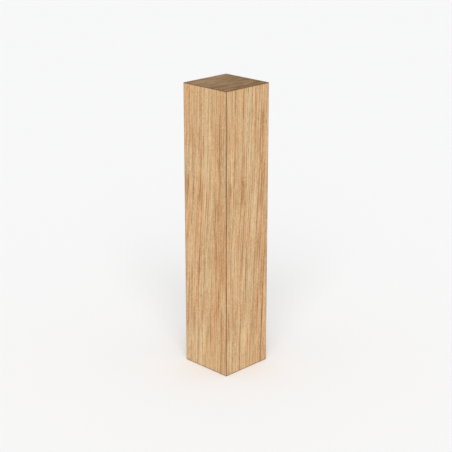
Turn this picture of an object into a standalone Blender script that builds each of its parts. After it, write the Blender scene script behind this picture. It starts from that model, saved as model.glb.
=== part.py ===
"""An oak bollard: one square post of solid oak, standing on its own foot.

Lengths are in metres, +Z is up, and the origin is the centre of the underside. The four sides
face along X and Y. Every horizontal section is a square with round corners, so the post is a
stack of such sections: a foot with its edge taken off, the straight shaft, and a flat top whose
edge is rounded over.
"""

import math

import bmesh
import bpy

# Driving dimensions
SIDE_WIDTH = 0.200  # across the post, from one side to the opposite one
HEIGHT = 1.000  # from the underside to the flat top
LONG_ARRIS_RADIUS = 0.002  # rounding of the four upright edges
TOP_ARRIS_RADIUS = 0.002  # rounding of the edge round the top
FOOT_CHAMFER = 0.001  # taken off the edge round the underside, at 45 degrees

# Fineness of the rounded edges
LONG_ARRIS_STEPS = 6
TOP_ARRIS_STEPS = 6

# Colours of the bare timber, as linear RGB
LONG_GRAIN_COLOUR = (0.600, 0.375, 0.190, 1.0)
END_GRAIN_COLOUR = (0.290, 0.185, 0.100, 1.0)
OAK_ROUGHNESS = 0.62
END_GRAIN_ROUGHNESS = 0.80

# Places of the two materials in the post's material list
LONG_GRAIN, END_GRAIN = 0, 1


def clear_scene():
    """Removes the objects of the startup scene."""
    for obj in list(bpy.data.objects):
        bpy.data.objects.remove(obj, do_unlink=True)


def timber(name, colour, roughness):
    """A bare wood surface in one plain colour."""
    material = bpy.data.materials.new(name)
    material.use_nodes = True
    shader = material.node_tree.nodes["Principled BSDF"]
    shader.inputs["Base Color"].default_value = colour
    shader.inputs["Roughness"].default_value = roughness
    shader.inputs["Metallic"].default_value = 0.0
    material.diffuse_color = colour
    return material


def section_points(half_width, height):
    """A square with round corners, anticlockwise seen from above, at one height."""
    centre = half_width - LONG_ARRIS_RADIUS
    points = []
    for corner in range(4):
        start = corner * math.pi / 2
        turn = start + math.pi / 4
        corner_x = math.copysign(centre, math.cos(turn))
        corner_y = math.copysign(centre, math.sin(turn))
        for step in range(LONG_ARRIS_STEPS + 1):
            angle = start + step / LONG_ARRIS_STEPS * math.pi / 2
            x = corner_x + LONG_ARRIS_RADIUS * math.cos(angle)
            y = corner_y + LONG_ARRIS_RADIUS * math.sin(angle)
            points.append((x, y, height))
    return points


def post_sections():
    """The post's sections from the foot upwards, each as (half width, height)."""
    half = SIDE_WIDTH / 2
    sections = [(half - FOOT_CHAMFER, 0.0), (half, FOOT_CHAMFER)]
    for step in range(TOP_ARRIS_STEPS + 1):
        angle = step / TOP_ARRIS_STEPS * math.pi / 2
        inset = TOP_ARRIS_RADIUS * (1 - math.cos(angle))
        rise = TOP_ARRIS_RADIUS * math.sin(angle)
        sections.append((half - inset, HEIGHT - TOP_ARRIS_RADIUS + rise))
    return sections


def post_mesh():
    """The post as one closed mesh, with end grain on its two flat ends."""
    bm = bmesh.new()
    rings = []
    for half_width, height in post_sections():
        rings.append([bm.verts.new(point) for point in section_points(half_width, height)])
    for lower, upper in zip(rings, rings[1:]):
        for i in range(len(lower)):
            j = (i + 1) % len(lower)
            side = bm.faces.new((lower[i], lower[j], upper[j], upper[i]))
            side.material_index = LONG_GRAIN
    underside = bm.faces.new(rings[0][::-1])
    top = bm.faces.new(rings[-1])
    underside.material_index = END_GRAIN
    top.material_index = END_GRAIN
    mesh = bpy.data.meshes.new("oak_post")
    bm.to_mesh(mesh)
    bm.free()
    mesh.shade_smooth()
    mesh.set_sharp_from_angle(angle=math.radians(30))
    return mesh


def build_post():
    """The one piece of the bollard."""
    mesh = post_mesh()
    mesh.materials.append(timber("oak_long_grain", LONG_GRAIN_COLOUR, OAK_ROUGHNESS))
    mesh.materials.append(timber("oak_end_grain", END_GRAIN_COLOUR, END_GRAIN_ROUGHNESS))
    post = bpy.data.objects.new("oak_post", mesh)
    bpy.context.scene.collection.objects.link(post)
    return post


clear_scene()
build_post()
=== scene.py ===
"""The looks of the oak bollard: its dressed surface and timber, a pale floor, soft light and a camera.

Lengths are in metres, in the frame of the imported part: +Z up, origin at the centre of the underside.
"""

import math

import bpy
import numpy as np
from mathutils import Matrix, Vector


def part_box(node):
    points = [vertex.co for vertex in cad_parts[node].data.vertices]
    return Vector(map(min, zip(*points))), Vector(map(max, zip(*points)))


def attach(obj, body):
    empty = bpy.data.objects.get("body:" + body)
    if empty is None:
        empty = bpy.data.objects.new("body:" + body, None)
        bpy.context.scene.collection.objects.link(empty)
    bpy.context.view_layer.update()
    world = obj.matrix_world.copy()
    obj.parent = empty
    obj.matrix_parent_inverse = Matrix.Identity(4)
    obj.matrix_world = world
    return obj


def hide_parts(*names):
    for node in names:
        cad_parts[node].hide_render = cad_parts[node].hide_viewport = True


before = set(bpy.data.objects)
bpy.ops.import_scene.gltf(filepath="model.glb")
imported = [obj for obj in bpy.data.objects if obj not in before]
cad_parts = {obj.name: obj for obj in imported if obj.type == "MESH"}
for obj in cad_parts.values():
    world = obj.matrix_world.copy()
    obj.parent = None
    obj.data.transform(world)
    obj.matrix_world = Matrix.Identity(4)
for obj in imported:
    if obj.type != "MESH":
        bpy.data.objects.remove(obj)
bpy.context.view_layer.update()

# The post, read from the frame
POST_NODE = "oak_post"
POST_LOW, POST_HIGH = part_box(POST_NODE)
HALF = (POST_HIGH.x - POST_LOW.x) / 2
HEIGHT = POST_HIGH.z - POST_LOW.z

# Rounded edges, as on the solid
ARRIS = 0.002
FOOT_EASE = 0.001
ARRIS_STEPS = 3  # on each side of an edge

# Fineness of the dressed surface
CELLS_ACROSS = 120
CELLS_ALONG = 88

# The baked textures' map: four sides side by side, and the two ends in a column of their own
MAP_NAME = "OFBake"
MAP_SCALE = 0.97
MAP_GAP = 0.005

# Growth rings. The heart of the tree lay outside the post, off the edge that the camera doesn't see.
HEART = (-0.26, 0.26)
RING_WIDTH = 0.0059
ARC_RADIUS = 0.40  # turns the angle round the heart into a length
OUTWARD_SHARE = math.sqrt(0.5)  # how much of a step along a side goes outwards through the rings

# The grain's lines lean to the left on their way down each side: steadily, and more about mid-height
LEAN = 0.024
LEAN_BEND = 0.008
LEAN_BEND_TOP, LEAN_BEND_FOOT = 0.28, 0.62

# How the rings stray from true: slowly up the post, in bends and in small jogs. Each has how far it
# reaches, and how often it varies a metre across the grain and along it.
CROOK_REACH, CROOK_ALONG = 0.002, 1.1
BEND_REACH, BEND_ACROSS, BEND_ALONG = 0.0030, 6.0, 1.8
JOG_REACH, JOG_ACROSS, JOG_ALONG = 0.0008, 60.0, 7.0

# Rings are uneven in width: how far their lines move, in rings, and how often that varies a metre
UNEVEN_REACH, UNEVEN_OUTWARDS = 0.8, 45.0

# A ring's band of pores and its late wood, as shares of the ring from its inner edge outwards
BAND_RISE = (0.0, 0.10)
BAND_FALL = (0.16, 0.55)
LATE_WOOD = (0.45, 1.0)
BAND_STRENGTH = (0.15, 0.45)  # differs from ring to ring, and every second ring gets 0.5 more

# Bands wane here and there up the post, down to the least share: how far apart the rings lie in the
# noise that this follows, how often that varies a metre, and over which of its values a band wanes
WANING_STEP, WANING_ALONG = 7.3, 7.0
WANING_RANGE = (-0.2, 0.2)
WANING_LEAST = 0.3

# Places at which the patterns are read from the noise, so that they differ from each other
CROOK_SEED = (3.1, 7.7)
UNEVEN_SEED = (1.3, 2.9)
WANING_SEED = 4.1
SAWN_SEED = 2.3
STAIN_SEED = 8.9

# Streaks of the timber, which the photograph shows on both of its faces. Each has its place across
# the side from the left edge, its top and bottom as shares of the height from the top down, its half
# width in millimetres, how dark it is (pale if below 0) and how red it is (straw if below 0).
STREAK_LAYER = "streaks"
STREAKS = (
    # the red vein left of the middle, from the top down to past half height
    (0.403, -0.05, 0.14, 4.2, 0.30, 0.26),
    (0.395, 0.12, 0.21, 3.4, 0.24, 0.22),
    (0.410, 0.19, 0.30, 4.2, 0.26, 0.24),
    (0.392, 0.28, 0.34, 5.0, 0.20, 0.18),
    (0.400, 0.30, 0.41, 9.5, 0.33, 0.14),
    (0.362, 0.345, 0.395, 4.0, 0.20, 0.12),
    (0.335, 0.38, 0.47, 3.0, 0.20, 0.26),
    (0.410, 0.39, 0.43, 4.0, 0.16, 0.02),
    (0.303, 0.43, 0.57, 4.0, 0.22, 0.30),
    (0.362, 0.55, 0.61, 4.4, 0.26, 0.36),
    (0.345, 0.59, 0.67, 3.6, 0.30, 0.26),
    (0.325, 0.64, 0.71, 4.0, 0.14, 0.16),
    # the brown vein near the right edge
    (0.847, 0.06, 0.20, 3.4, 0.46, 0.10),
    (0.865, 0.18, 0.23, 3.6, 0.26, 0.10),
    (0.832, 0.22, 0.285, 7.5, 0.24, 0.16),
    (0.862, 0.27, 0.33, 5.5, 0.20, 0.20),
    (0.842, 0.30, 0.39, 3.4, 0.28, 0.14),
    (0.840, 0.36, 0.45, 11.0, 0.22, 0.22),
    # finer lines between the middle and the right edge
    (0.672, -0.02, 0.19, 3.0, 0.30, 0.16),
    (0.740, 0.36, 0.53, 3.2, 0.40, 0.06),
    (0.762, 0.51, 0.62, 2.8, 0.28, 0.02),
    (0.685, 0.53, 0.61, 6.0, 0.12, 0.22),
    (0.880, 0.60, 0.67, 8.0, 0.14, 0.20),
    (0.840, 0.64, 0.75, 8.0, 0.12, 0.14),
    (0.775, 0.73, 0.79, 4.0, 0.16, 0.38),
    (0.650, 0.73, 0.80, 3.0, 0.20, 0.12),
    (0.885, 0.73, 0.89, 3.2, 0.30, 0.06),
    (0.862, 0.87, 1.05, 3.0, 0.28, 0.08),
    (0.615, 0.76, 0.91, 3.0, 0.34, 0.06),
    # finer lines towards the left edge and in the middle
    (0.040, -0.05, 0.30, 3.0, 0.10, 0.24),
    (0.066, 0.29, 0.44, 5.0, 0.20, 0.10),
    (0.105, 0.30, 0.37, 3.2, 0.26, 0.14),
    (0.075, 0.42, 0.57, 4.0, 0.16, 0.22),
    (0.222, 0.10, 0.22, 6.0, 0.14, 0.16),
    (0.213, 0.20, 0.33, 3.0, 0.28, 0.20),
    (0.215, 0.33, 0.40, 7.0, 0.16, 0.14),
    (0.250, -0.03, 0.12, 2.8, 0.18, 0.12),
    (0.135, -0.03, 0.14, 3.0, 0.16, 0.20),
    (0.335, -0.04, 0.07, 3.0, 0.12, 0.24),
    (0.560, 0.37, 0.54, 2.8, 0.26, 0.04),
    (0.595, 0.17, 0.25, 2.6, 0.20, 0.02),
    (0.612, 0.24, 0.38, 2.8, 0.20, 0.00),
    (0.165, 0.44, 0.49, 2.8, 0.24, 0.06),
    (0.525, 0.46, 0.57, 3.0, 0.16, 0.14),
    (0.480, 0.56, 0.71, 3.0, 0.26, 0.08),
    (0.472, 0.70, 0.80, 3.0, 0.20, 0.06),
    (0.158, 0.60, 0.87, 3.0, 0.40, 0.08),
    (0.225, 0.75, 0.89, 2.8, 0.44, 0.08),
    (0.265, 0.72, 0.78, 4.4, 0.12, 0.34),
    (0.045, 0.60, 0.76, 3.6, 0.07, 0.24),
    (0.050, 0.75, 0.90, 3.0, 0.24, 0.14),
    (0.398, 0.67, 0.87, 2.8, 0.22, 0.02),
    (0.322, 0.82, 1.01, 2.6, 0.32, 0.04),
    (0.132, 0.87, 1.03, 2.6, 0.30, 0.06),
    (0.190, 0.91, 0.96, 6.0, 0.06, 0.34),
    (0.520, 0.85, 0.93, 7.0, 0.08, 0.20),
    (0.680, 0.88, 0.98, 8.0, 0.06, 0.16),
    (0.470, 0.91, 1.05, 3.0, 0.16, 0.06),
    # pale straw bands
    (0.465, -0.10, 0.34, 5.0, -0.06, -0.10),
    (0.560, -0.10, 0.36, 19.0, -0.12, -0.12),
    (0.120, 0.26, 0.34, 3.6, -0.22, -0.16),
    (0.145, 0.31, 0.47, 3.4, -0.18, -0.14),
    (0.365, -0.03, 0.22, 2.8, -0.12, -0.06),
    (0.635, 0.33, 0.56, 11.0, -0.10, -0.08),
    (0.590, 0.52, 0.62, 10.0, -0.04, -0.14),
    (0.540, 0.60, 0.72, 6.0, -0.12, -0.06),
    (0.095, 0.84, 0.97, 4.4, -0.14, -0.10),
    (0.450, 0.80, 0.91, 5.0, -0.14, -0.10),
    (0.125, 0.19, 0.33, 10.0, -0.15, -0.09),
    (0.300, 0.19, 0.31, 8.0, -0.10, -0.08),
    (0.190, 0.42, 0.72, 13.0, -0.08, -0.02),
    (0.500, 0.34, 0.54, 8.0, -0.10, -0.05),
    (0.590, 0.61, 0.75, 10.0, -0.09, -0.04),
    (0.415, 0.58, 0.80, 10.0, -0.14, -0.04),
    (0.080, 0.86, 1.02, 9.0, -0.16, -0.02),
    (0.230, 0.83, 1.08, 27.0, -0.15, -0.10),
    (0.420, 0.82, 1.08, 13.0, -0.18, -0.08),
    # broad brown bands, most of them near the right edge
    (0.860, -0.10, 0.44, 13.0, 0.09, 0.08),
    (0.740, 0.05, 0.25, 13.0, 0.08, 0.04),
    (0.905, 0.39, 0.62, 20.0, 0.15, 0.10),
    (0.775, 0.44, 0.66, 12.0, 0.15, 0.06),
    (0.930, 0.54, 0.72, 15.0, 0.13, 0.12),
    (0.800, 0.65, 0.81, 13.0, 0.08, 0.10),
    (0.735, 0.72, 0.92, 14.0, 0.10, 0.14),
    (0.910, 0.73, 1.05, 15.0, 0.09, 0.05),
    (0.045, 0.29, 0.43, 13.0, 0.15, 0.08),
    (0.030, 0.75, 0.89, 8.0, 0.12, 0.06),
    (0.030, 0.57, 0.77, 8.0, 0.01, 0.18),
)
STREAK_STRENGTH = 1.15
STREAK_HUE = 1.8
STREAK_FADE = 0.3  # share of its length over which a streak fades at each end
STREAK_EDGE = 4  # the higher, the sharper are a streak's long edges

# How far a streak strays from straight, and how much its width swells. Each wave has how fast it runs
# down the side, and how much it differs for a streak at another place across the side.
STREAK_WANDER = 0.0006
WANDER_WAVE, SLOW_WANDER_WAVE = (23.0, 40.0), (7.1, 90.0)
STREAK_SWELL = 0.2
SWELL_WAVE = (37.0, 60.0)

# Relief of the dressed surface
PORE_DEPTH = 0.00022
SAW_WANDER = 0.00035
END_WANDER = 0.00025
WANDER_ACROSS, WANDER_ALONG = 9.0, 4.0

# How upright a surface's normal is where a side turns into an end, for the relief and for the timber
RELIEF_TURN = (0.4, 0.9)
TIMBER_TURN = (0.45, 0.85)

# Layers of the timber's pattern: how often each varies a metre outwards through the rings, round them
# and up the grain, and how much finer detail it has
LAYERS = {
    "wide": (30.0, 5.0, 1.0, 1.0),
    "fine": (230.0, 24.0, 5.0, 0.0),
    "hair": (620.0, 60.0, 8.0, 1.0),
    "mottle": (280.0, 80.0, 40.0, 1.0),
    "fleck": (420.0, 260.0, 170.0, 1.0),
    "slow_hue": (48.0, 9.0, 2.6, 1.0),
    "line_hue": (150.0, 20.0, 4.5, 1.0),
    "fleck_hue": (260.0, 80.0, 70.0, 1.0),
    "pores": (1500.0, 1300.0, 65.0, 0.0),
    "rays": (22.0, 800.0, 40.0, 0.0),
}
PORES_SHOW = (0.15, 0.20)
PORES_IN_BAND = 0.70  # the share of the pores' strength that they have only in a ring's band
RAYS_SHOW = (0.14, 0.24)

# The sides: the share of each part of the pattern in their tone, how the streaks' darkness varies with
# the pattern, and the linear colours that tones have. Hue is from red below 0 to straw above.
SIDE_TONE = 0.737
SIDE_SHARES = {
    "wide": 0.04,
    "fine": 0.25,
    "hair": 0.95,
    "mottle": 0.45,
    "fleck": 0.70,
    "late": -0.05,
    "band": -0.58,
    "pores": -0.85,
    "rays": 0.06,
}
STREAK_BASE = 0.8
STREAK_SHARES = {"mottle": 1.3, "fine": 0.9}
SIDE_COLOURS = (
    (0.0, (0.290, 0.133, 0.053)),
    (0.33, (0.444, 0.245, 0.107)),
    (0.62, (0.588, 0.366, 0.181)),
    (1.0, (0.715, 0.505, 0.284)),
)
HUE_SHARES = {"slow_hue": 0.3, "line_hue": 1.0, "fleck_hue": 0.65, "red": -1.0}
HUE_TINT = (-0.15, 0.045, 0.15)

# The ends, in the same way. They also grow darker towards +X and +Y.
END_TONE = 0.525
END_SHARES = {
    "x": -0.95,
    "y": -0.80,
    "wide": 0.2,
    "sawn": 1.60,
    "fine": 0.4,
    "hair": 0.4,
    "band": -0.35,
    "pores": -0.25,
    "rays": 0.30,
}
END_COLOURS = (
    (0.0, (0.150, 0.070, 0.018)),
    (0.25, (0.196, 0.101, 0.032)),
    (0.5, (0.262, 0.154, 0.066)),
    (0.75, (0.330, 0.210, 0.106)),
    (1.0, (0.400, 0.268, 0.148)),
)
STAIN_WAVES = (40.0, 14.0)
STAIN_TINT = (-0.12, 0.0, 0.25)

# Faint straight saw marks across the ends, along Y: how many a metre, and how long for their width
SAW_LINES = 75.0
SAW_LINE_STRETCH = 6.0

# Edges darker than the sides, in a line along each edge that is a little uneven
EDGE_DARK_CORE = 0.0012
EDGE_DARK_REACH = 0.0042
EDGE_DARK_TINT = (0.36, 0.29, 0.23)
EDGE_DARK_BASE = 0.9
EDGE_DARK_SHARES = {"mottle": 0.8}

# Gloss and the finest relief of the bare timber
ROUGHNESS = 0.66
ROUGHNESS_SHARES = {"fine": 0.25, "band": 0.10, "edge_dark": -0.12, "upright": 0.12}
SPECULAR = 0.28
BUMP_DISTANCE = 0.0003
BUMP_SHARES = {"hair": 0.5, "fine": 0.3, "mottle": 0.25, "pores": -0.8}

# Light and surroundings
WORLD_HORIZON = (0.94, 0.94, 0.94, 1.0)
WORLD_ZENITH = (0.70, 0.70, 0.70, 1.0)
WORLD_BLEND = (0.0, 0.5)  # from where to where the sky changes, as shares of straight up
LAMP_STRENGTH = 1.35
LAMP_SPREAD = 40.0  # degrees of sky that the soft lamp fills
LAMP_PITCH = 40.0
LAMP_DISTANCE = 5.0
FLOOR_SIZE = 60.0
FLOOR_COLOUR = (0.945, 0.947, 0.948, 1.0)
FLOOR_ROUGHNESS = 0.9
FLOOR_SPECULAR = 0.1

# The camera, from the corners of the post in the photograph
PICTURE_SIDE = 452
FOCAL_PIXELS = 1208.0
SENSOR = 36.0
CAMERA_DISTANCE = 4.135
CAMERA_AZIMUTH = 44.85
CAMERA_PITCH = 18.94
CENTRE_RIGHT = 0.00073  # how far right of the picture's middle the post's centre stands


class Wiring:
    """Adds nodes to a shader or geometry tree and joins them, with each call returning an output."""

    def __init__(self, tree):
        self.tree = tree

    def node(self, kind, **settings):
        made = self.tree.nodes.new(kind)
        for name, value in settings.items():
            setattr(made, name, value)
        return made

    def plug(self, socket, value):
        if isinstance(value, bpy.types.NodeSocket):
            self.tree.links.new(value, socket)
        else:
            socket.default_value = value

    def math(self, operation, *values):
        made = self.node("ShaderNodeMath", operation=operation)
        for socket, value in zip(made.inputs, values):
            self.plug(socket, value)
        return made.outputs[0]

    def add(self, *values):
        total = values[0]
        for value in values[1:]:
            total = self.math("ADD", total, value)
        return total

    def times(self, *values):
        product = values[0]
        for value in values[1:]:
            product = self.math("MULTIPLY", product, value)
        return product

    def minus(self, a, b):
        return self.math("SUBTRACT", a, b)

    def blend(self, base, parts, shares):
        """The base with a share of each named part added to it."""
        return self.add(base, *(self.times(parts[name], share) for name, share in shares.items()))

    def vector(self, x, y, z):
        made = self.node("ShaderNodeCombineXYZ")
        for socket, value in zip(made.inputs, (x, y, z)):
            self.plug(socket, value)
        return made.outputs[0]

    def parts(self, vector):
        made = self.node("ShaderNodeSeparateXYZ")
        self.plug(made.inputs[0], vector)
        return made.outputs

    def noise(self, x, y, z, detail=1.0):
        """Smooth noise about zero, mostly within -0.5 to 0.5."""
        made = self.node("ShaderNodeTexNoise", noise_dimensions="3D")
        self.plug(made.inputs["Vector"], self.vector(x, y, z))
        made.inputs["Scale"].default_value = 1.0
        made.inputs["Detail"].default_value = detail
        made.inputs["Roughness"].default_value = 0.5
        return self.minus(made.outputs[0], 0.5)

    def chance(self, value):
        """A value from 0 to 1 that jumps with each whole number."""
        made = self.node("ShaderNodeTexWhiteNoise", noise_dimensions="1D")
        self.plug(made.inputs["W"], value)
        return made.outputs["Value"]

    def rise(self, value, low, high, start=0.0, end=1.0):
        """Goes smoothly from start to end as value goes from low to high."""
        made = self.node("ShaderNodeMapRange", interpolation_type="SMOOTHSTEP")
        for name, given in (
            ("Value", value),
            ("From Min", low),
            ("From Max", high),
            ("To Min", start),
            ("To Max", end),
        ):
            self.plug(made.inputs[name], given)
        return made.outputs[0]

    def ramp(self, value, stops):
        """A colour for each value, as (value, linear colour) stops from low to high."""
        made = self.node("ShaderNodeValToRGB")
        elements = made.color_ramp.elements
        for at, _ in stops[1:-1]:
            elements.new(at)
        for element, (at, colour) in zip(elements, stops):
            element.position = at
            element.color = (*colour, 1.0)
        self.plug(made.inputs[0], value)
        return made.outputs[0]

    def tinted(self, colour, amount, tint):
        """The colour with each channel multiplied by one plus its tint's share of the amount."""
        made = self.node("ShaderNodeVectorMath", operation="MULTIPLY")
        self.plug(made.inputs[0], colour)
        channels = [self.add(1.0, self.times(amount, share)) for share in tint]
        self.plug(made.inputs[1], self.vector(*channels))
        return made.outputs[0]

    def mixed(self, factor, first, second, blend_type="MIX"):
        """The first colour at factor 0 and the second, or the first blended with it, at factor 1."""
        made = self.node("ShaderNodeMix", data_type="RGBA", blend_type=blend_type)
        colours = [socket for socket in made.inputs if socket.type == "RGBA"]
        self.plug(made.inputs["Factor"], factor)
        self.plug(colours[0], first)
        self.plug(colours[1], second)
        return next(socket for socket in made.outputs if socket.type == "RGBA")


def growth(w, position, upright):
    """The timber's own coordinates at a place: ring by ring, round the heart, and up the grain."""
    x, y, z = w.parts(position)
    down = w.minus(1.0, w.times(z, 1 / HEIGHT))
    bent = w.rise(down, LEAN_BEND_TOP, LEAN_BEND_FOOT)
    lean = w.add(w.times(down, LEAN), w.times(bent, LEAN_BEND))
    lean = w.times(lean, w.math("SIGN", w.add(x, y)), w.minus(1.0, upright), -OUTWARD_SHARE)
    crook = w.times(w.noise(*CROOK_SEED, w.times(z, CROOK_ALONG)), CROOK_REACH)

    def stray(reach, across, along):
        return w.times(w.noise(w.times(x, across), w.times(y, across), w.times(z, along)), reach)

    bend = stray(BEND_REACH, BEND_ACROSS, BEND_ALONG)
    jog = stray(JOG_REACH, JOG_ACROSS, JOG_ALONG)
    east, north = w.minus(x, HEART[0]), w.minus(y, HEART[1])
    radius = w.math("SQRT", w.add(w.times(east, east), w.times(north, north)))
    radius = w.add(radius, lean, crook, bend, jog)
    arc = w.times(w.math("ARCTAN2", north, east), ARC_RADIUS)
    return radius, arc, z


def rings(w, radius, z):
    """The pore band of each ring, from 0 to 1, and how far through its ring a place is."""
    uneven = w.noise(w.times(radius, UNEVEN_OUTWARDS), *UNEVEN_SEED, detail=2.0)
    place = w.add(w.math("DIVIDE", radius, RING_WIDTH), w.times(uneven, UNEVEN_REACH))
    phase = w.math("FRACT", place)
    number = w.math("FLOOR", place)
    band = w.times(w.rise(phase, *BAND_RISE), w.rise(phase, *BAND_FALL, 1.0, 0.0))
    every_other = w.math("FRACT", w.times(number, 0.5))  # 0.5 or 0
    strength = w.add(w.rise(w.chance(number), 0.0, 1.0, *BAND_STRENGTH), every_other)
    waning = w.noise(w.times(number, WANING_STEP), WANING_SEED, w.times(z, WANING_ALONG))
    return w.times(band, strength, w.rise(waning, *WANING_RANGE, WANING_LEAST, 1.0)), phase


def relief_height(w, position, upright):
    """How far the dressed surface stands off the flat solid, along its normal."""
    radius, _, z = growth(w, position, upright)
    band, _ = rings(w, radius, z)
    x, y, _ = w.parts(position)
    across = (w.times(x, WANDER_ACROSS), w.times(y, WANDER_ACROSS))
    wander = w.noise(*across, w.times(z, WANDER_ALONG), detail=2.0)
    side = w.add(w.times(band, -PORE_DEPTH), w.times(wander, SAW_WANDER))
    end = w.add(w.times(band, -PORE_DEPTH), w.times(wander, END_WANDER))
    return w.add(w.times(side, w.minus(1.0, upright)), w.times(end, upright))


def grid_lines(low, high, low_ease, high_ease, cells):
    """Places of the lattice's planes along one axis, closer together where an edge is rounded."""
    share = [math.tan(math.pi / 4 * step / ARRIS_STEPS) for step in range(ARRIS_STEPS, 0, -1)]
    first = [low + low_ease * (1 - s) for s in share]
    middle = list(np.linspace(low + low_ease, high - high_ease, cells + 1))
    last = [high - high_ease * (1 - s) for s in reversed(share)]
    return np.array(first + middle + last)


def rounded(points):
    """Moves points of a box's surface onto the same box with rounded edges."""
    eases = np.full_like(points, ARRIS)
    eases[:, 2] = np.where(points[:, 2] < HEIGHT / 2, FOOT_EASE, ARRIS)
    low = np.array([-HALF, -HALF, 0.0]) + eases
    high = np.array([HALF, HALF, HEIGHT]) - eases
    inner = np.clip(points, low, high)
    way = (points - inner) / eases
    way /= np.linalg.norm(way, axis=1, keepdims=True)
    return inner + way * eases


def post_mesh():
    """The post's surface as a closed lattice of small cells, with a map for its textures."""
    across = grid_lines(-HALF, HALF, ARRIS, ARRIS, CELLS_ACROSS)
    along = grid_lines(0.0, HEIGHT, FOOT_EASE, ARRIS, CELLS_ALONG)
    lines = (across, across, along)
    last = [len(line) - 1 for line in lines]
    index, faces, spots = {}, [], []

    def vertex(key):
        return index.setdefault(key, len(index))

    def cover(axis, at, u_axis, v_axis, map_place):
        """One side of the box, low or high on its axis, with its faces turned outwards."""
        u_lines, v_lines = lines[u_axis], lines[v_axis]
        forward = at == ((v_axis - u_axis) % 3 == 1)
        for i in range(last[u_axis]):
            for j in range(last[v_axis]):
                corners = [(i, j), (i + 1, j), (i + 1, j + 1), (i, j + 1)]
                if not forward:
                    corners.reverse()
                face = []
                for a, b in corners:
                    key = [0, 0, 0]
                    key[axis] = last[axis] if at else 0
                    key[u_axis], key[v_axis] = a, b
                    face.append(vertex(tuple(key)))
                    u = map_place[0] + MAP_SCALE * (u_lines[a] - u_lines[0])
                    v = map_place[1] + MAP_SCALE * (v_lines[b] - v_lines[0])
                    spots.append((u, v))
                faces.append(face)

    strip = MAP_SCALE * 2 * HALF + MAP_GAP
    side_places = [(MAP_GAP + strip * n, MAP_GAP) for n in range(4)]
    end_places = [(MAP_GAP + strip * 4, MAP_GAP + strip * n) for n in range(2)]
    cover(1, False, 0, 2, side_places[0])
    cover(0, True, 1, 2, side_places[1])
    cover(1, True, 0, 2, side_places[2])
    cover(0, False, 1, 2, side_places[3])
    cover(2, True, 0, 1, end_places[0])
    cover(2, False, 0, 1, end_places[1])

    keys = np.array(list(index))
    points = np.stack([lines[n][keys[:, n]] for n in range(3)], axis=1)
    mesh = bpy.data.meshes.new("post")
    mesh.from_pydata(rounded(points).tolist(), [], faces)
    layer = mesh.uv_layers.new(name=MAP_NAME)
    layer.data.foreach_set("uv", np.array(spots, np.float32).ravel())
    mesh.shade_smooth()
    return mesh


def side_place(points):
    """How far across its side and down it each point is, as shares, seen from outside the post.

    The two hidden sides are turned end for end, so that they don't repeat the two that show.
    """
    x, y = points[:, 0], points[:, 1]
    faces_y = np.abs(y) >= np.abs(x)
    across = np.where(faces_y, np.where(y < 0, x, -x), np.where(x > 0, y, -y)) / (2 * HALF) + 0.5
    down = 1 - points[:, 2] / HEIGHT
    hidden = np.where(faces_y, y > 0, x < 0)
    return np.where(hidden, 1 - across, across), np.where(hidden, 1 - down, down)


def lean_at(down):
    """How far to the left the grain's lines have gone at this share of the height from the top down."""
    bend = np.clip((down - LEAN_BEND_TOP) / (LEAN_BEND_FOOT - LEAN_BEND_TOP), 0, 1)
    return LEAN * down + LEAN_BEND * bend * bend * (3 - 2 * bend)


def add_streaks(mesh):
    """Stores how dark and how red the timber's streaks make each point."""
    points = np.empty(len(mesh.vertices) * 3)
    mesh.vertices.foreach_get("co", points)
    points = points.reshape(-1, 3)
    across, down = side_place(points)
    amount = np.zeros((len(points), 3))

    def wave(place, speed, shift):
        return np.sin(down * speed + place * shift)

    for place, top, bottom, width, darkness, redness in STREAKS:
        wander = STREAK_WANDER * wave(place, *WANDER_WAVE) * wave(place, *SLOW_WANDER_WAVE)
        swell = 1 + STREAK_SWELL * wave(place, *SWELL_WAVE)
        lean = lean_at(down) - lean_at((top + bottom) / 2)
        off = ((across - place) * 2 * HALF + lean + wander) / (width / 1000 * swell)
        fade = STREAK_FADE * (bottom - top)
        ends = np.clip((down - top) / fade, 0, 1) * np.clip((bottom - down) / fade, 0, 1)
        share = np.exp(-(off**STREAK_EDGE)) * ends
        amount[:, 0] += darkness * share * STREAK_STRENGTH
        amount[:, 1] += redness * share * STREAK_HUE
    layer = mesh.attributes.new(STREAK_LAYER, "FLOAT_VECTOR", "POINT")
    layer.data.foreach_set("vector", amount.astype(np.float32).ravel())


def dress(post):
    """Gives the post the relief of its grain and of the saw, as real geometry."""
    tree = bpy.data.node_groups.new("dressing", "GeometryNodeTree")
    tree.interface.new_socket(name="Geometry", in_out="INPUT", socket_type="NodeSocketGeometry")
    tree.interface.new_socket(name="Geometry", in_out="OUTPUT", socket_type="NodeSocketGeometry")
    w = Wiring(tree)
    given, made = w.node("NodeGroupInput"), w.node("NodeGroupOutput")
    position = w.node("GeometryNodeInputPosition").outputs[0]
    normal = w.node("GeometryNodeInputNormal").outputs[0]
    upright = w.rise(w.math("ABSOLUTE", w.parts(normal)[2]), *RELIEF_TURN)
    height = relief_height(w, position, upright)
    offset = w.node("ShaderNodeVectorMath", operation="SCALE")
    w.plug(offset.inputs[0], normal)
    w.plug(offset.inputs["Scale"], height)
    move = w.node("GeometryNodeSetPosition")
    w.plug(move.inputs["Geometry"], given.outputs[0])
    w.plug(move.inputs["Offset"], offset.outputs[0])
    w.plug(made.inputs[0], move.outputs[0])
    modifier = post.modifiers.new("dressing", "NODES")
    modifier.node_group = tree
    graph = bpy.context.evaluated_depsgraph_get()
    finished = bpy.data.meshes.new_from_object(post.evaluated_get(graph))
    post.modifiers.clear()
    post.data = finished
    bpy.data.node_groups.remove(tree)


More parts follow.
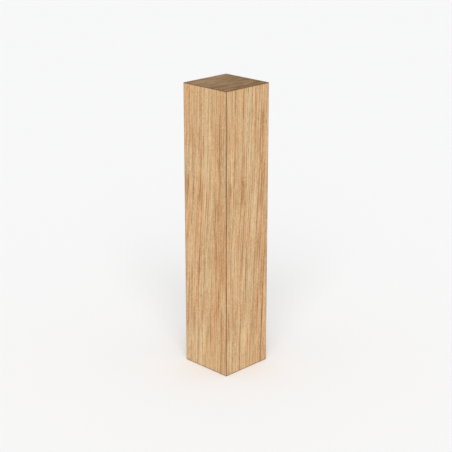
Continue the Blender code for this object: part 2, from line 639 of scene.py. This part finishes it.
def edge_distance(w, position):
    """How far a place on the surface is from the nearest edge of the post, as if the edges were sharp."""
    x, y, z = w.parts(position)
    inset_x = w.minus(HALF, w.math("ABSOLUTE", x))
    inset_y = w.minus(HALF, w.math("ABSOLUTE", y))
    nearest_side = w.math("MINIMUM", inset_x, inset_y)
    nearest_end = w.math("MINIMUM", z, w.minus(HEIGHT, z))
    long_edge = w.math("MAXIMUM", inset_x, inset_y)
    end_edge = w.math("MAXIMUM", nearest_side, nearest_end)
    return w.math("MINIMUM", long_edge, end_edge)


def timber_parts(w, position, upright):
    """The named parts that the timber's colour, gloss and finest relief are made up of."""
    radius, arc, z = growth(w, position, upright)
    parts = {
        name: w.noise(w.times(radius, outwards), w.times(arc, round_), w.times(z, up), detail)
        for name, (outwards, round_, up, detail) in LAYERS.items()
    }
    band, phase = rings(w, radius, z)
    share_in_band = w.add(1.0 - PORES_IN_BAND, w.times(band, PORES_IN_BAND))
    parts["band"] = band
    parts["late"] = w.rise(phase, *LATE_WOOD)
    parts["pores"] = w.times(w.rise(parts["pores"], *PORES_SHOW), share_in_band)
    parts["rays"] = w.rise(parts["rays"], *RAYS_SHOW)
    parts["upright"] = upright
    return parts


def side_colour(w, parts):
    """Long grain: the growth rings' lines and the streaks, with straw and red hues."""
    streaks = w.node("ShaderNodeAttribute", attribute_name=STREAK_LAYER)
    dark, red, _ = w.parts(streaks.outputs["Vector"])
    ragged = w.blend(STREAK_BASE, parts, STREAK_SHARES)
    tone = w.add(w.blend(SIDE_TONE, parts, SIDE_SHARES), w.times(dark, ragged, -1.0))
    hue = w.blend(0.0, parts | {"red": red}, HUE_SHARES)
    return w.tinted(w.ramp(tone, SIDE_COLOURS), hue, HUE_TINT)


def end_colour(w, parts, position):
    """End grain: darker, with rings, rays and the marks of the saw."""
    x, y, _ = w.parts(position)
    across_saw, along_saw = w.times(x, SAW_LINES), w.times(y, SAW_LINES / SAW_LINE_STRETCH)
    sawn = w.noise(across_saw, along_saw, SAWN_SEED, detail=2.0)
    stain = w.noise(w.times(x, STAIN_WAVES[0]), w.times(y, STAIN_WAVES[1]), STAIN_SEED)
    tone = w.blend(END_TONE, parts | {"x": x, "y": y, "sawn": sawn}, END_SHARES)
    return w.tinted(w.ramp(tone, END_COLOURS), stain, STAIN_TINT)


def oak():
    """Bare oak: long grain on the sides and end grain on the ends, cut through the same rings."""
    material = bpy.data.materials.new("oak_timber")
    material.use_nodes = True
    tree = material.node_tree
    tree.nodes.clear()
    w = Wiring(tree)
    position = w.node("ShaderNodeTexCoord").outputs["Object"]
    normal = w.node("ShaderNodeNewGeometry").outputs["Normal"]
    upright = w.rise(w.math("ABSOLUTE", w.parts(normal)[2]), *TIMBER_TURN)
    parts = timber_parts(w, position, upright)
    bare = w.mixed(upright, side_colour(w, parts), end_colour(w, parts, position))

    # A darker line along every edge, a little uneven, where the timber is also a little glossier
    edge_dark = w.rise(edge_distance(w, position), EDGE_DARK_CORE, EDGE_DARK_REACH, 1.0, 0.0)
    edge_dark = w.times(edge_dark, w.blend(EDGE_DARK_BASE, parts, EDGE_DARK_SHARES))
    parts["edge_dark"] = edge_dark
    bump = w.node("ShaderNodeBump")
    bump.inputs["Strength"].default_value = 1.0
    bump.inputs["Distance"].default_value = BUMP_DISTANCE
    w.plug(bump.inputs["Height"], w.blend(0.0, parts, BUMP_SHARES))

    shader = w.node("ShaderNodeBsdfPrincipled")
    w.plug(shader.inputs["Base Color"], w.mixed(edge_dark, bare, (*EDGE_DARK_TINT, 1.0), "MULTIPLY"))
    w.plug(shader.inputs["Roughness"], w.blend(ROUGHNESS, parts, ROUGHNESS_SHARES))
    w.plug(shader.inputs["Normal"], bump.outputs[0])
    shader.inputs["Specular IOR Level"].default_value = SPECULAR
    out = w.node("ShaderNodeOutputMaterial")
    w.plug(out.inputs["Surface"], shader.outputs[0])
    return material


def build_post():
    """The one visible piece, in place of the plain solid."""
    post = bpy.data.objects.new("oak_bollard_post", post_mesh())
    bpy.context.scene.collection.objects.link(post)
    add_streaks(post.data)
    dress(post)
    post.data.materials.append(oak())
    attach(post, "root")
    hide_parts(POST_NODE)


def build_floor():
    """A plain pale floor that runs out of sight."""
    mesh = bpy.data.meshes.new("floor")
    reach = FLOOR_SIZE / 2
    corners = [(-reach, -reach, 0), (reach, -reach, 0), (reach, reach, 0), (-reach, reach, 0)]
    mesh.from_pydata(corners, [], [(0, 1, 2, 3)])
    floor = bpy.data.objects.new("floor", mesh)
    bpy.context.scene.collection.objects.link(floor)
    material = bpy.data.materials.new("floor_white")
    material.use_nodes = True
    shader = material.node_tree.nodes["Principled BSDF"]
    shader.inputs["Base Color"].default_value = FLOOR_COLOUR
    shader.inputs["Roughness"].default_value = FLOOR_ROUGHNESS
    shader.inputs["Specular IOR Level"].default_value = FLOOR_SPECULAR
    mesh.materials.append(material)


def light_scene():
    """A white sky, dimmer overhead, and one broad soft lamp above the camera."""
    scene = bpy.context.scene
    scene.view_settings.view_transform = "Standard"
    world = bpy.data.worlds.new("studio")
    scene.world = world
    world.use_nodes = True
    tree = world.node_tree
    tree.nodes.clear()
    w = Wiring(tree)
    up = w.parts(w.node("ShaderNodeTexCoord").outputs["Generated"])[2]
    background = w.node("ShaderNodeBackground")
    w.plug(background.inputs["Color"], w.mixed(w.rise(up, *WORLD_BLEND), WORLD_HORIZON, WORLD_ZENITH))
    out = w.node("ShaderNodeOutputWorld")
    w.plug(out.inputs[0], background.outputs[0])
    data = bpy.data.lights.new("softbox", "SUN")
    data.energy = LAMP_STRENGTH
    data.angle = math.radians(LAMP_SPREAD)
    lamp = bpy.data.objects.new("softbox", data)
    scene.collection.objects.link(lamp)
    lamp.location = direction(CAMERA_AZIMUTH, LAMP_PITCH) * LAMP_DISTANCE
    aim(lamp, (0, 0, 0))


def direction(azimuth, pitch):
    """From the post towards a viewer at these angles, in degrees."""
    turn, rise = math.radians(azimuth), math.radians(pitch)
    level = math.cos(rise)
    return Vector((math.sin(turn) * level, -math.cos(turn) * level, math.sin(rise)))


def aim(obj, target):
    """Turns a camera or lamp towards a place."""
    obj.rotation_mode = "QUATERNION"
    obj.rotation_quaternion = (Vector(target) - obj.location).to_track_quat("-Z", "Y")


def place_camera():
    """Looks at the middle of the post, as the photograph does."""
    turn = math.radians(CAMERA_AZIMUTH)
    right = Vector((math.cos(turn), math.sin(turn), 0.0))
    middle = Vector((0, 0, HEIGHT / 2)) - right * CENTRE_RIGHT
    data = bpy.data.cameras.new("camera")
    data.sensor_width = SENSOR
    data.lens = FOCAL_PIXELS / PICTURE_SIDE * SENSOR
    camera = bpy.data.objects.new("camera", data)
    bpy.context.scene.collection.objects.link(camera)
    camera.location = middle + direction(CAMERA_AZIMUTH, CAMERA_PITCH) * CAMERA_DISTANCE
    aim(camera, middle)
    bpy.context.scene.camera = camera


build_post()
build_floor()
light_scene()
place_camera()
